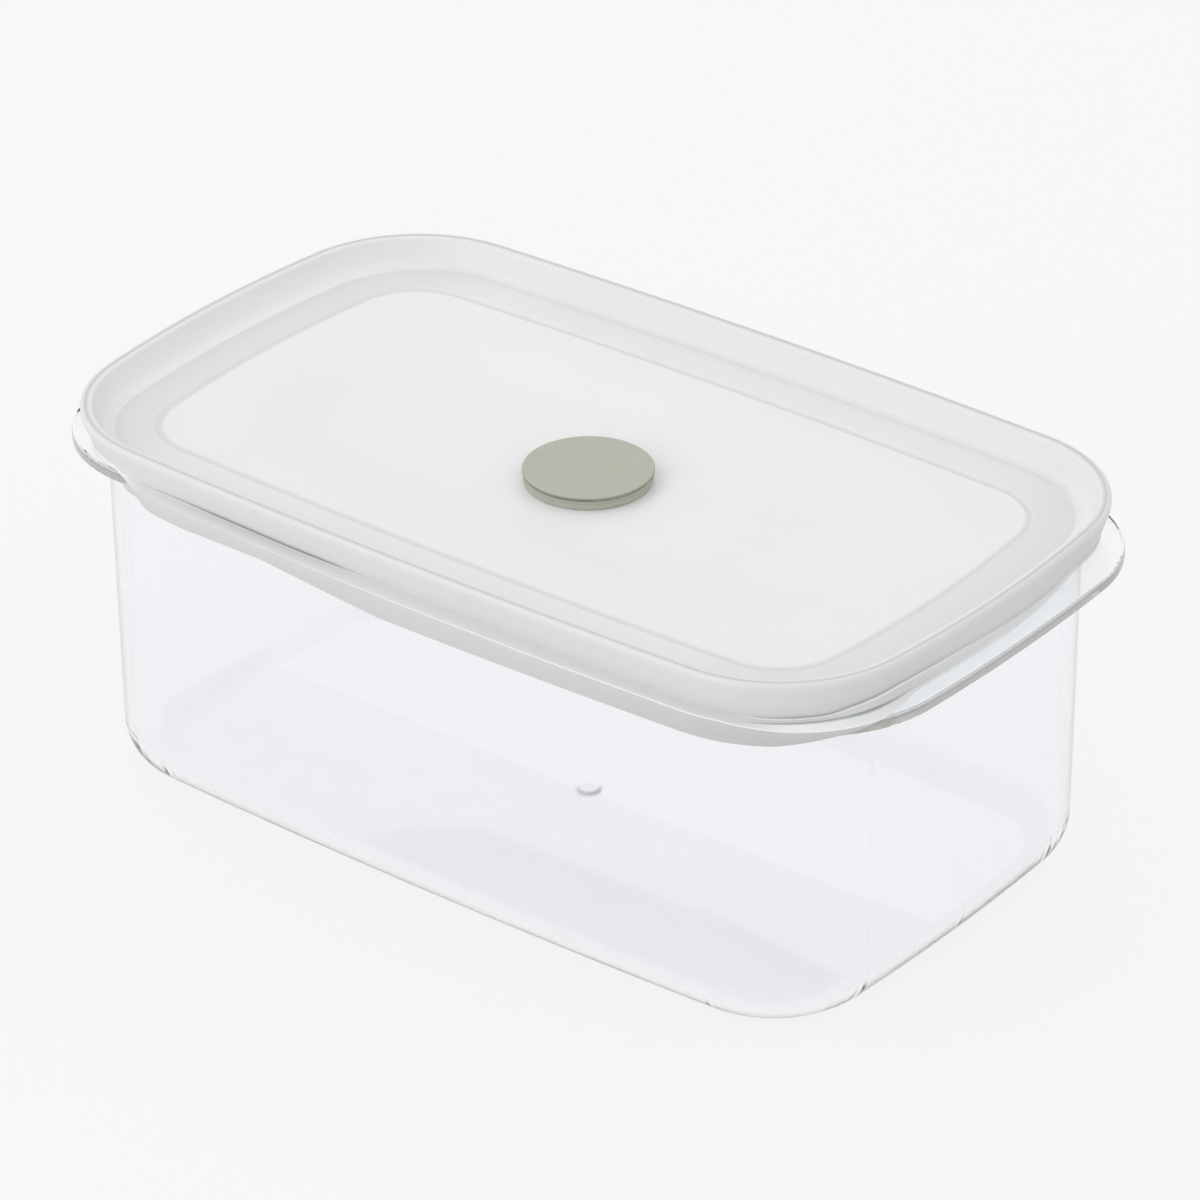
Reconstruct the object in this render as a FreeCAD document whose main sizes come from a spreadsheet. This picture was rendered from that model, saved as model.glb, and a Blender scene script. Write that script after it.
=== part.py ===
"""Vacuum seal canister: a clear rectangular tub, a flexible lid and a grey release valve.

Millimetres, +Z up, origin at the centre of the tub's resting face. +X runs along the long sides and
the front long side faces -Y. The lid's crest, the tub's wall and the tub's flange each follow a rounded
rectangle with slightly bowed sides. Insets are measured inwards from such an outline, overhangs outwards.
"""
import FreeCAD
import Part
import Sketcher
import collections
import math
import os

SIZES = {
    # Outline of the lid's crest
    "crest_length": 240.0,
    "crest_width": 143.3,
    "crest_corner_radius": 36.0,
    "crest_end_bow_radius": 330.0,
    "side_bow_radius": 2000.0,
    # Tub
    "tub_height": 87.2,
    "tub_wall": 2.0,
    "tub_floor": 2.2,
    "tub_end_inset": 8.0,
    "tub_side_inset": 5.5,
    "tub_corner_drop": 6.5,
    "tub_end_bow_radius": 635.0,
    "tub_draft": 0.8,
    "tub_foot_radius": 11.5,
    "flange_end_overhang": 12.9,
    "flange_side_overhang": 1.2,
    "flange_corner_drop": 3.2,
    "flange_end_bow_radius": 550.0,
    "flange_thickness": 2.9,
    "flange_edge_radius": 0.7,
    "gate_mark_diameter": 6.0,
    "gate_mark_height": 1.0,
    "gate_mark_edge_radius": 0.6,
    # Lid: rim, skirt and plug
    "crest_rise": 9.6,
    "crest_land": 2.9,
    "crest_edge_radius": 0.9,
    "crest_thickness": 2.2,
    "channel_top_width": 1.0,
    "lid_wall": 1.3,
    "well_depth": 6.6,
    "well_slope": 2.3,
    "well_foot_radius": 3.0,
    "skirt_chamfer": 0.4,
    "skirt_clearance": 0.3,
    "plug_clearance": 0.5,
    "plug_depth": 7.0,
    # Lid: floor, panel line and dish
    "lid_floor": 1.5,
    "panel_inset": 18.7,
    "panel_line_width": 2.4,
    "panel_line_depth": 0.5,
    "panel_line_radius": 1.5,
    "dish_margin": 2.8,
    "dish_depth": 3.0,
    "dish_blend_radius": 40.0,
    "dish_blend_reach": 5.0,
    "seat_margin": 1.3,
    # Lid: grip flaps, with lengths from the middle of a long side and the root's depth from the crest
    "flap_root_depth": 7.4,
    "flap_start": 81.0,
    "flap_start_slant": 7.0,
    "flap_finish": 110.8,
    "flap_finish_slant": 1.5,
    "flap_step_start": 38.0,
    "flap_step_finish": 2.0,
    "flap_shallow_height": 2.9,
    "flap_deep_height": 5.8,
    "flap_finish_height": 4.7,
    "flap_corner_radius": 5.0,
    "flap_tip_radius": 2.0,
    "flap_reach": 3.0,
    "flap_slope": 1.2,
    "flap_thickness": 0.9,
    "flap_bevel": 0.5,
    # Gasket
    "gasket_inner_clearance": 0.2,
    "gasket_outer_overhang": 0.5,
    # Valve
    "button_diameter": 31.4,
    "button_thickness": 1.8,
    "button_edge_radius": 0.3,
    "button_neck_height": 1.1,
    "button_neck_inset": 0.4,
    "button_socket_depth": 0.8,
    "seal_diameter": 30.8,
    "seal_thickness": 1.6,
    "seal_edge_radius": 0.4,
    "stem_diameter": 7.0,
    "stem_clearance": 0.05,
    "stem_foot_height": 1.6,
    "stem_foot_chamfer": 0.6,
    "neck_diameter": 5.0,
    "retainer_diameter": 13.0,
    "retainer_thickness": 1.2,
    "retainer_clearance": 0.1,
    "retainer_mouth": 4.4,
    "valve_travel": 2.5,
    "valve_stop_gap": 0.3,
    "vent_diameter": 2.0,
    "vent_circle_radius": 9.5,
}
VENT_COUNT = 6
# Depth by which joined pieces of one solid run into each other
JOIN = 1.5
# The same for the flange's plate and its rounded edge
EDGE_JOIN = 0.7
HALF_TURN = math.pi
UPWARDS = FreeCAD.Vector(0, 0, 1)

Outline = collections.namedtuple("Outline", "length width corner_radius end_radius side_radius")


class Size:
    """A length that carries its number and the sheet expression that it comes from."""

    def __init__(self, value, text):
        self.value = value
        self.text = text

    def combined(self, other, sign, factor):
        if isinstance(other, Size):
            return Size(self.value + factor * other.value, f"({self.text} {sign} {other.text})")
        return Size(self.value + factor * other, f"({self.text} {sign} {other:.6g})")

    def __add__(self, other):
        return self.combined(other, "+", 1)

    def __sub__(self, other):
        return self.combined(other, "-", -1)

    def __truediv__(self, divisor):
        return Size(self.value / divisor, f"({self.text} / {divisor:.6g})")


NOTHING = Size(0.0, "0")


def make_sheet(doc):
    """Writes the driving dimensions to a sheet and returns them as a dictionary of Size."""
    sheet = doc.addObject("Spreadsheet::Sheet", "Sizes")
    for row, (name, number) in enumerate(SIZES.items(), start=1):
        sheet.set(f"A{row}", name)
        sheet.set(f"B{row}", f"{number:.6g}")
        sheet.setAlias(f"B{row}", name)
    doc.recompute()
    return {name: Size(number, f"Sizes.{name}") for name, number in SIZES.items()}


def new_body(doc, label):
    body = doc.addObject("PartDesign::Body", label)
    body.Label = label
    return body


def origin_item(body, role):
    return next(item for item in body.Origin.OriginFeatures if item.Role == role)


def new_sketch(body, name, role, offset=None):
    """A sketch on one of the body's own origin planes, moved along the plane's normal by offset."""
    sketch = body.newObject("Sketcher::SketchObject", name)
    sketch.AttachmentSupport = (origin_item(body, role), [""])
    sketch.MapMode = "FlatFace"
    if offset is not None:
        sketch.setExpression("AttachmentOffset.Base.z", offset.text)
    return sketch


def tie(sketch, kind, *places):
    sketch.addConstraint(Sketcher.Constraint(kind, *places))


def bind(sketch, kind, places, size):
    """Adds a dimension to the sketch and binds it to a sheet expression."""
    index = sketch.addConstraint(Sketcher.Constraint(kind, *places, size.value))
    sketch.setExpression(f"Constraints[{index}]", size.text)


def pin(sketch, geometry, place, along, up):
    """Fixes a point of the sketch at a pair of sizes. None puts it on that axis."""
    if along is None:
        tie(sketch, "PointOnObject", geometry, place, -2)
    else:
        bind(sketch, "DistanceX", (-1, 1, geometry, place), along)
    if up is None:
        tie(sketch, "PointOnObject", geometry, place, -1)
    else:
        bind(sketch, "DistanceY", (-1, 1, geometry, place), up)


def flat_vector(along, up):
    return FreeCAD.Vector(along.value if along else 0.0, up.value if up else 0.0, 0.0)


def angle_of(vector):
    return math.atan2(vector.y, vector.x)


def rounded_corner(before, here, after, radius):
    """Where a rounding of a corner starts and ends, its arc, and whether the corner turns left."""
    back = (before - here).normalize()
    ahead = (after - here).normalize()
    half_angle = back.getAngle(ahead) / 2
    reach = radius / math.tan(half_angle)
    middle = here + (back + ahead).normalize() * (radius / math.sin(half_angle))
    start = here + back * reach
    end = here + ahead * reach
    turns_left = back.cross(ahead).z < 0
    first, last = (start, end) if turns_left else (end, start)
    circle = Part.Circle(middle, UPWARDS, radius)
    arc = Part.ArcOfCircle(circle, angle_of(first - middle), angle_of(last - middle))
    return start, end, arc, turns_left


def draw_profile(sketch, corners):
    """A closed polygon. Each corner is (along, up) or (along, up, radius of its rounding)."""
    points = [flat_vector(corner[0], corner[1]) for corner in corners]
    count = len(points)
    joints = []
    for index, corner in enumerate(corners):
        here = points[index]
        if len(corner) == 2:
            joints.append((here, here, None, None))
        else:
            following = points[(index + 1) % count]
            joints.append(rounded_corner(points[index - 1], here, following, corner[2].value))
    lines = []
    for index in range(count):
        segment = Part.LineSegment(joints[index][1], joints[(index + 1) % count][0])
        lines.append(sketch.addGeometry(segment, False))
    for index, corner in enumerate(corners):
        line_in, line_out = lines[index - 1], lines[index]
        curve, turns_left = joints[index][2:]
        if curve is None:
            tie(sketch, "Coincident", line_in, 2, line_out, 1)
            pin(sketch, line_out, 1, corner[0], corner[1])
            continue
        arc = sketch.addGeometry(curve, False)
        first_end, last_end = (1, 2) if turns_left else (2, 1)
        tie(sketch, "Tangent", line_in, 2, arc, first_end)
        tie(sketch, "Tangent", line_out, 1, arc, last_end)
        bind(sketch, "Radius", (arc,), corner[2])
        vertex = sketch.addGeometry(Part.Point(points[index]), True)
        tie(sketch, "PointOnObject", vertex, 1, line_in)
        tie(sketch, "PointOnObject", vertex, 1, line_out)
        pin(sketch, vertex, 1, corner[0], corner[1])


def corner_centre(outline):
    """Centre of the corner arc in the +X +Y quarter, which touches the bowed end and the bowed side."""
    end_centre = outline.length.value / 2 - outline.end_radius.value
    side_centre = outline.width.value / 2 - outline.side_radius.value
    end_reach = outline.end_radius.value - outline.corner_radius.value
    side_reach = outline.side_radius.value - outline.corner_radius.value
    apart = math.hypot(end_centre, side_centre)
    along = (apart ** 2 + end_reach ** 2 - side_reach ** 2) / (2 * apart)
    aside = math.sqrt(end_reach ** 2 - along ** 2)
    unit_x, unit_y = -end_centre / apart, side_centre / apart
    return FreeCAD.Vector(end_centre + along * unit_x - aside * unit_y, along * unit_y + aside * unit_x, 0)


def draw_outline(sketch, outline, overhang):
    """The bowed rounded rectangle at an overhang from an outline, from the middle of its +X end."""
    end_radius = outline.end_radius + overhang
    side_radius = outline.side_radius + overhang
    corner_radius = outline.corner_radius + overhang
    end_shift = outline.end_radius - outline.length / 2
    side_shift = outline.side_radius - outline.width / 2
    right = FreeCAD.Vector(-end_shift.value, 0, 0)
    left = FreeCAD.Vector(end_shift.value, 0, 0)
    back = FreeCAD.Vector(0, -side_shift.value, 0)
    front = FreeCAD.Vector(0, side_shift.value, 0)
    first = corner_centre(outline)
    corners = [FreeCAD.Vector(x * first.x, y * first.y, 0) for x, y in ((1, 1), (-1, 1), (-1, -1), (1, -1))]
    end_angle = angle_of(first - right)
    side_angle = angle_of(first - back)
    spans = [
        (right, end_radius, 0.0, end_angle),
        (corners[0], corner_radius, end_angle, side_angle),
        (back, side_radius, side_angle, HALF_TURN - side_angle),
        (corners[1], corner_radius, HALF_TURN - side_angle, HALF_TURN - end_angle),
        (left, end_radius, HALF_TURN - end_angle, HALF_TURN + end_angle),
        (corners[2], corner_radius, HALF_TURN + end_angle, HALF_TURN + side_angle),
        (front, side_radius, HALF_TURN + side_angle, 2 * HALF_TURN - side_angle),
        (corners[3], corner_radius, 2 * HALF_TURN - side_angle, 2 * HALF_TURN - end_angle),
        (right, end_radius, 2 * HALF_TURN - end_angle, 2 * HALF_TURN),
    ]
    arcs = []
    for centre, radius, start, end in spans:
        circle = Part.Circle(centre, UPWARDS, radius.value)
        arcs.append(sketch.addGeometry(Part.ArcOfCircle(circle, start, end), False))
    for arc, following in zip(arcs, arcs[1:]):
        tie(sketch, "Tangent", arc, 2, following, 1)
    for arc, span in zip(arcs[:-1], spans):
        bind(sketch, "Radius", (arc,), span[1])
    for arc in (arcs[0], arcs[4]):
        tie(sketch, "PointOnObject", arc, 3, -1)
    for arc in (arcs[2], arcs[6]):
        tie(sketch, "PointOnObject", arc, 3, -2)
    bind(sketch, "DistanceX", (arcs[0], 3, -1, 1), end_shift)
    bind(sketch, "DistanceX", (-1, 1, arcs[4], 3), end_shift)
    bind(sketch, "DistanceY", (arcs[2], 3, -1, 1), side_shift)
    bind(sketch, "DistanceY", (-1, 1, arcs[6], 3), side_shift)
    tie(sketch, "Coincident", arcs[8], 3, arcs[0], 3)
    tie(sketch, "Coincident", arcs[8], 2, arcs[0], 1)
    tie(sketch, "PointOnObject", arcs[0], 1, -1)


def draw_circle(sketch, diameter, along=None):
    """A circle on the sketch's X axis, or round its origin."""
    index = sketch.addGeometry(Part.Circle(flat_vector(along, None), UPWARDS, diameter.value / 2), False)
    bind(sketch, "Diameter", (index,), diameter)
    pin(sketch, index, 3, along, None)


def draw_stadium(sketch, run, radius):
    """A slot outline with round ends of a radius on two centres, a run away from the middle."""
    right = FreeCAD.Vector(run.value, 0, 0)
    left = FreeCAD.Vector(-run.value, 0, 0)
    rise = FreeCAD.Vector(0, radius.value, 0)
    quarter = HALF_TURN / 2
    order = [
        Part.ArcOfCircle(Part.Circle(right, UPWARDS, radius.value), -quarter, quarter),
        Part.LineSegment(right + rise, left + rise),
        Part.ArcOfCircle(Part.Circle(left, UPWARDS, radius.value), quarter, 3 * quarter),
        Part.LineSegment(left - rise, right - rise),
    ]
    edges = [sketch.addGeometry(curve, False) for curve in order]
    for edge, following in zip(edges, edges[1:] + edges[:1]):
        tie(sketch, "Tangent", edge, 2, following, 1)
    for arc in (edges[0], edges[2]):
        tie(sketch, "PointOnObject", arc, 3, -1)
    bind(sketch, "Radius", (edges[0],), radius)
    bind(sketch, "DistanceX", (-1, 1, edges[0], 3), run)
    bind(sketch, "DistanceX", (edges[2], 3, -1, 1), run)


def sweep_round(body, name, outline, corners, kind="PartDesign::AdditivePipe"):
    """Carries a profile, drawn at the middle of the +X end, once round an outline."""
    path = new_sketch(body, f"{name}_path", "XY_Plane")
    draw_outline(path, outline, NOTHING)
    profile = new_sketch(body, f"{name}_profile", "XZ_Plane")
    draw_profile(profile, corners)
    pipe = body.newObject(kind, name)
    pipe.Profile = profile
    pipe.Spine = path
    return pipe


def pad_up(body, name, sketch, height):
    pad = body.newObject("PartDesign::Pad", name)
    pad.Profile = sketch
    pad.setExpression("Length", height.text)
    return pad


def turn_round(body, name, corners):
    """A solid of revolution about Z from a profile in the XZ plane."""
    profile = new_sketch(body, f"{name}_profile", "XZ_Plane")
    draw_profile(profile, corners)
    revolution = body.newObject("PartDesign::Revolution", name)
    revolution.Profile = profile
    revolution.ReferenceAxis = (profile, ["V_Axis"])
    revolution.Angle = 360.0


def must_cut(doc, body, before, name):
    doc.recompute()
    if body.Shape.Volume >= before:
        raise RuntimeError(f"{name} cut nothing")


def pocket_down(doc, body, name, sketch, depth):
    """Cuts a sketch downwards by a depth."""
    doc.recompute()
    before = body.Shape.Volume
    pocket = body.newObject("PartDesign::Pocket", name)
    pocket.Profile = sketch
    pocket.setExpression("Length", depth.text)
    must_cut(doc, body, before, name)
    return pocket


def make_outlines(size):
    """The crest's, the tub mouth's and the flange's outlines."""
    crest = Outline(size["crest_length"], size["crest_width"], size["crest_corner_radius"],
                    size["crest_end_bow_radius"], size["side_bow_radius"])
    tub = Outline(crest.length - size["tub_end_inset"] - size["tub_end_inset"],
                  crest.width - size["tub_side_inset"] - size["tub_side_inset"],
                  crest.corner_radius - size["tub_corner_drop"],
                  size["tub_end_bow_radius"], size["side_bow_radius"])
    flange = Outline(tub.length + size["flange_end_overhang"] + size["flange_end_overhang"],
                     tub.width + size["flange_side_overhang"] + size["flange_side_overhang"],
                     crest.corner_radius - size["flange_corner_drop"],
                     size["flange_end_bow_radius"], size["side_bow_radius"])
    return {"crest": crest, "tub": tub, "flange": flange}


def make_levels(size):
    """Heights and reaches that several pieces share."""
    crest = size["tub_height"] + size["crest_rise"]
    floor_top = crest - size["well_depth"]
    seat = floor_top - size["dish_depth"]
    panel_underside = seat - size["lid_floor"]
    retainer_top = panel_underside - size["valve_travel"] - size["valve_stop_gap"]
    panel_edge = size["panel_inset"] + size["dish_margin"]
    half_dish = size["crest_width"] / 2 - panel_edge
    flap_root = crest - size["flap_root_depth"]
    return {
        "crest": crest,
        "floor_top": floor_top,
        "floor_underside": floor_top - size["lid_floor"],
        "flap_root": flap_root,
        "skirt_bottom": size["tub_height"] + size["skirt_clearance"],
        "flap_fold": flap_root - size["flap_slope"],
        "seat": seat,
        "panel_underside": panel_underside,
        "seal_top": seat + size["seal_thickness"],
        "stem_top": seat + size["seal_thickness"] + size["button_socket_depth"],
        "stem_bore": size["stem_diameter"] + size["stem_clearance"] + size["stem_clearance"],
        "retainer_top": retainer_top,
        "retainer_bottom": retainer_top - size["retainer_thickness"],
        "half_dish": half_dish,
        "dish_run": size["crest_length"] / 2 - panel_edge - half_dish,
        "well_foot": size["crest_land"] + size["well_slope"],
        "plug_face": size["tub_wall"] + size["plug_clearance"],
    }


def make_tub(doc, size, level, outlines):
    body = new_body(doc, "tub")
    mouth = outlines["tub"].length / 2
    foot = mouth - size["tub_draft"]
    foot_flat = foot - size["tub_foot_radius"] - JOIN
    flange_underside = size["tub_height"] - size["flange_thickness"]
    sweep_round(body, "wall", outlines["tub"], [
        (foot_flat, None),
        (foot, None, size["tub_foot_radius"]),
        (mouth, size["tub_height"]),
        (mouth - size["tub_wall"], size["tub_height"]),
        (foot - size["tub_wall"], size["tub_floor"], size["tub_foot_radius"] - size["tub_wall"]),
        (foot_flat, size["tub_floor"]),
    ])
    bottom = new_sketch(body, "floor_outline", "XY_Plane")
    draw_outline(bottom, outlines["tub"], NOTHING - size["tub_draft"] - size["tub_foot_radius"])
    pad_up(body, "floor", bottom, size["tub_floor"])
    plate = new_sketch(body, "flange_outline", "XY_Plane", flange_underside)
    draw_outline(plate, outlines["flange"], NOTHING - size["flange_edge_radius"] - EDGE_JOIN)
    draw_outline(plate, outlines["tub"], NOTHING - size["tub_wall"] / 4)
    pad_up(body, "flange", plate, size["flange_thickness"])
    edge = outlines["flange"].length / 2
    edge_in = edge - size["flange_edge_radius"] - EDGE_JOIN - EDGE_JOIN
    sweep_round(body, "flange_edge", outlines["flange"], [
        (edge_in, flange_underside),
        (edge, flange_underside, size["flange_edge_radius"]),
        (edge, size["tub_height"], size["flange_edge_radius"]),
        (edge_in, size["tub_height"]),
    ])
    add_gate_mark(doc, body, size)
    return body


def add_gate_mark(doc, body, size):
    """The round mark of the mould's gate: a low boss on the floor over a hollow of the same height."""
    radius = size["gate_mark_diameter"] / 2
    top = size["tub_floor"] + size["gate_mark_height"]
    turn_round(body, "gate_boss", [
        (None, size["gate_mark_height"]),
        (radius, size["gate_mark_height"]),
        (radius, top, size["gate_mark_edge_radius"]),
        (None, top),
    ])
    hollow = new_sketch(body, "gate_hollow_circle", "XY_Plane", size["gate_mark_height"])
    draw_circle(hollow, size["gate_mark_diameter"])
    pocket_down(doc, body, "gate_hollow", hollow, size["gate_mark_height"])


def make_lid_shell(doc, size, level, outlines):
    """Crest, skirt, plug, floor, panel line, dish and valve holes, without the grip flaps."""
    body = new_body(doc, "lid_shell")
    end = outlines["crest"].length / 2
    wall = size["lid_wall"]
    channel_top = level["crest"] - size["crest_thickness"]
    band_end = end - level["well_foot"] - size["well_foot_radius"] - JOIN
    sweep_round(body, "rim", outlines["crest"], [
        (end - size["skirt_chamfer"], level["skirt_bottom"]),
        (end, level["skirt_bottom"] + size["skirt_chamfer"]),
        (end, level["crest"], size["crest_edge_radius"]),
        (end - size["crest_land"], level["crest"], size["crest_edge_radius"]),
        (end - level["well_foot"], level["floor_top"], size["well_foot_radius"]),
        (band_end, level["floor_top"]),
        (band_end, level["floor_underside"]),
        (end - level["well_foot"] + wall, level["floor_underside"]),
        (end - wall - size["channel_top_width"], channel_top),
        (end - wall, channel_top),
        (end - wall, level["skirt_bottom"]),
    ])
    plate = new_sketch(body, "floor_outline", "XY_Plane", level["floor_underside"])
    draw_outline(plate, outlines["crest"], NOTHING - level["well_foot"] - size["well_foot_radius"])
    draw_stadium(plate, level["dish_run"], level["half_dish"])
    pad_up(body, "floor", plate, size["lid_floor"])
    plug_out = outlines["tub"].length / 2 - level["plug_face"]
    plug_bottom = size["tub_height"] - size["plug_depth"]
    plug_top = level["floor_top"] - size["lid_floor"] / 2
    sweep_round(body, "plug", outlines["tub"], [
        (plug_out - wall, plug_bottom),
        (plug_out, plug_bottom),
        (plug_out, plug_top),
        (plug_out - wall, plug_top),
    ])
    add_dish(body, size, level)
    cut_panel_line(doc, body, size, level, outlines)
    cut_valve_holes(doc, body, size, level)
    return body


def dish_profile(size, level):
    """Half section of the dish, from its middle out to where it runs into the flat floor."""
    flat_reach = size["button_diameter"] / 2 + size["seat_margin"] + size["dish_blend_reach"]
    rise_reach = level["half_dish"] - size["dish_blend_reach"]
    strip_end = level["half_dish"] + JOIN
    blend = size["dish_blend_radius"]
    return [
        (None, level["seat"]),
        (None, level["panel_underside"]),
        (flat_reach, level["panel_underside"], blend),
        (rise_reach, level["floor_underside"], blend),
        (strip_end, level["floor_underside"]),
        (strip_end, level["floor_top"]),
        (rise_reach, level["floor_top"], blend),
        (flat_reach, level["seat"], blend),
    ]


def add_dish(body, size, level):
    """A trough with round ends: a straight run, mirrored, and half a turn at each end."""
    corners = dish_profile(size, level)
    section = new_sketch(body, "dish_section", "YZ_Plane")
    draw_profile(section, corners)
    run = pad_up(body, "dish_run", section, level["dish_run"] + level["dish_run"])
    run.Midplane = True
    mirror = body.newObject("PartDesign::Mirrored", "dish_run_mirrored")
    mirror.Originals = [run]
    mirror.MirrorPlane = (origin_item(body, "XZ_Plane"), [""])
    body.Tip = mirror
    for name, place, flipped in (("dish_end_right", level["dish_run"], True),
                                 ("dish_end_left", NOTHING - level["dish_run"], False)):
        turned = new_sketch(body, f"{name}_section", "YZ_Plane", place)
        draw_profile(turned, corners)
        half = body.newObject("PartDesign::Revolution", name)
        half.Profile = turned
        half.ReferenceAxis = (turned, ["V_Axis"])
        half.Angle = 180.0
        half.Reversed = flipped


def cut_panel_line(doc, body, size, level, outlines):
    """The fine groove that frames the panel."""
    line = outlines["crest"].length / 2 - size["panel_inset"]
    half = size["panel_line_width"] / 2
    doc.recompute()
    before = body.Shape.Volume
    sweep_round(body, "panel_line", outlines["crest"], [
        (line - half, level["floor_top"] + JOIN),
        (line - half, level["floor_top"]),
        (line, level["floor_top"] - size["panel_line_depth"], size["panel_line_radius"]),
        (line + half, level["floor_top"]),
        (line + half, level["floor_top"] + JOIN),
    ], kind="PartDesign::SubtractivePipe")
    must_cut(doc, body, before, "panel_line")


def cut_valve_holes(doc, body, size, level):
    """The stem's bore and the ring of vents that the seal closes."""
    bore = new_sketch(body, "bore_circle", "XY_Plane", level["seat"])
    draw_circle(bore, level["stem_bore"])
    pocket_down(doc, body, "bore", bore, size["lid_floor"])
    vent = new_sketch(body, "vent_circle", "XY_Plane", level["seat"])
    draw_circle(vent, size["vent_diameter"], size["vent_circle_radius"])
    first = pocket_down(doc, body, "vent", vent, size["lid_floor"])
    ring = body.newObject("PartDesign::PolarPattern", "vents")
    ring.Originals = [first]
    ring.Axis = (origin_item(body, "Z_Axis"), [""])
    ring.Angle = 360.0
    ring.Occurrences = VENT_COUNT
    body.Tip = ring


def make_flap_ring(doc, size, level, outlines):
    """The section of a grip flap carried all the way round: a ledge and the flap that hangs from it."""
    body = new_body(doc, "flap_ring")
    end = outlines["crest"].length / 2
    inner = end - size["lid_wall"] / 2
    flap_out = end + size["flap_reach"]
    flap_in = flap_out - size["flap_thickness"]
    bottom = level["flap_fold"] - size["flap_deep_height"] - JOIN
    sweep_round(body, "ring", outlines["crest"], [
        (inner, level["skirt_bottom"]),
        (flap_in, level["skirt_bottom"]),
        (flap_in, bottom),
        (flap_out, bottom),
        (flap_out, level["flap_fold"] - size["flap_bevel"]),
        (flap_out - size["flap_bevel"], level["flap_fold"]),
        (end, level["flap_root"]),
        (inner, level["flap_root"]),
    ])
    return body


def make_flap_window(doc, size, level):
    """A block in front of the canister that has the front flap's side view."""
    body = new_body(doc, "flap_window")
    top = level["flap_root"] + JOIN
    shallow = level["flap_fold"] - size["flap_shallow_height"]
    deep = level["flap_fold"] - size["flap_deep_height"]
    finish = level["flap_fold"] - size["flap_finish_height"]
    rounding = size["flap_corner_radius"]
    face = new_sketch(body, "side_view", "XZ_Plane")
    draw_profile(face, [
        (NOTHING - size["flap_start"], top),
        (NOTHING - size["flap_start"] + size["flap_start_slant"], shallow, rounding),
        (NOTHING - size["flap_step_start"], shallow, rounding),
        (NOTHING - size["flap_step_finish"], deep, rounding),
        (size["flap_finish"] - size["flap_finish_slant"], finish, size["flap_tip_radius"]),
        (size["flap_finish"], top),
    ])
    pad_up(body, "block", face, size["crest_width"])
    return body


def make_lid(doc, size, level, outlines):
    front = doc.addObject("Part::Common", "front_flap")
    front.Base = make_flap_ring(doc, size, level, outlines)
    front.Tool = make_flap_window(doc, size, level)
    turned = doc.addObject("Part::Mirroring", "front_flap_turned")
    turned.Source = front
    turned.Normal = FreeCAD.Vector(1, 0, 0)
    back = doc.addObject("Part::Mirroring", "back_flap")
    back.Source = turned
    back.Normal = FreeCAD.Vector(0, 1, 0)
    lid = doc.addObject("Part::MultiFuse", "lid")
    lid.Shapes = [make_lid_shell(doc, size, level, outlines), front, back]
    lid.Label = "lid"
    return lid


def make_gasket(doc, size, level, outlines):
    """The flat soft ring between the lid's floor and the tub's rim."""
    body = new_body(doc, "lid_gasket")
    mouth = outlines["tub"].length / 2
    inner = mouth - level["plug_face"] + size["gasket_inner_clearance"]
    outer = mouth + size["gasket_outer_overhang"]
    sweep_round(body, "ring", outlines["tub"], [
        (inner, size["tub_height"]),
        (outer, size["tub_height"]),
        (outer, level["floor_underside"]),
        (inner, level["floor_underside"]),
    ])
    return body


def make_button(doc, size, level, outlines):
    body = new_body(doc, "valve_button")
    radius = size["button_diameter"] / 2
    top = level["seal_top"] + size["button_thickness"]
    neck_top = level["seal_top"] + size["button_neck_height"]
    neck_radius = radius - size["button_neck_inset"]
    socket_radius = level["stem_bore"] / 2
    turn_round(body, "disc", [
        (None, level["stem_top"]),
        (socket_radius, level["stem_top"]),
        (socket_radius, level["seal_top"]),
        (neck_radius, level["seal_top"]),
        (neck_radius, neck_top),
        (radius, neck_top),
        (radius, top, size["button_edge_radius"]),
        (None, top),
    ])
    return body


def make_seal(doc, size, level, outlines):
    body = new_body(doc, "valve_seal")
    radius = size["seal_diameter"] / 2
    bore_radius = level["stem_bore"] / 2
    turn_round(body, "disc", [
        (bore_radius, level["seat"]),
        (radius, level["seat"], size["seal_edge_radius"]),
        (radius, level["seal_top"], size["seal_edge_radius"]),
        (bore_radius, level["seal_top"]),
    ])
    return body


def make_stem(doc, size, level, outlines):
    """The post that guides the valve, with a neck for the clip."""
    body = new_body(doc, "valve_stem")
    radius = size["stem_diameter"] / 2
    neck_radius = size["neck_diameter"] / 2
    neck_top = level["retainer_top"] + size["retainer_clearance"]
    neck_bottom = level["retainer_bottom"] - size["retainer_clearance"]
    foot = neck_bottom - size["stem_foot_height"]
    chamfer = size["stem_foot_chamfer"]
    turn_round(body, "post", [
        (None, foot),
        (radius - chamfer, foot),
        (radius, foot + chamfer),
        (radius, neck_bottom),
        (neck_radius, neck_bottom),
        (neck_radius, neck_top),
        (radius, neck_top),
        (radius, level["stem_top"]),
        (None, level["stem_top"]),
    ])
    return body


def make_retainer(doc, size, level, outlines):
    """A flat clip with an open side, pushed onto the stem's neck."""
    body = new_body(doc, "valve_retainer")
    ring = new_sketch(body, "ring_circles", "XY_Plane", level["retainer_bottom"])
    draw_circle(ring, size["retainer_diameter"])
    draw_circle(ring, size["neck_diameter"] + size["retainer_clearance"] + size["retainer_clearance"])
    pad_up(body, "ring", ring, size["retainer_thickness"])
    slot = new_sketch(body, "mouth_outline", "XY_Plane", level["retainer_top"])
    half = size["retainer_mouth"] / 2
    draw_profile(slot, [
        (None, NOTHING - half),
        (size["retainer_diameter"], NOTHING - half),
        (size["retainer_diameter"], half),
        (None, half),
    ])
    pocket_down(doc, body, "mouth", slot, size["retainer_thickness"])
    return body


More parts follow.
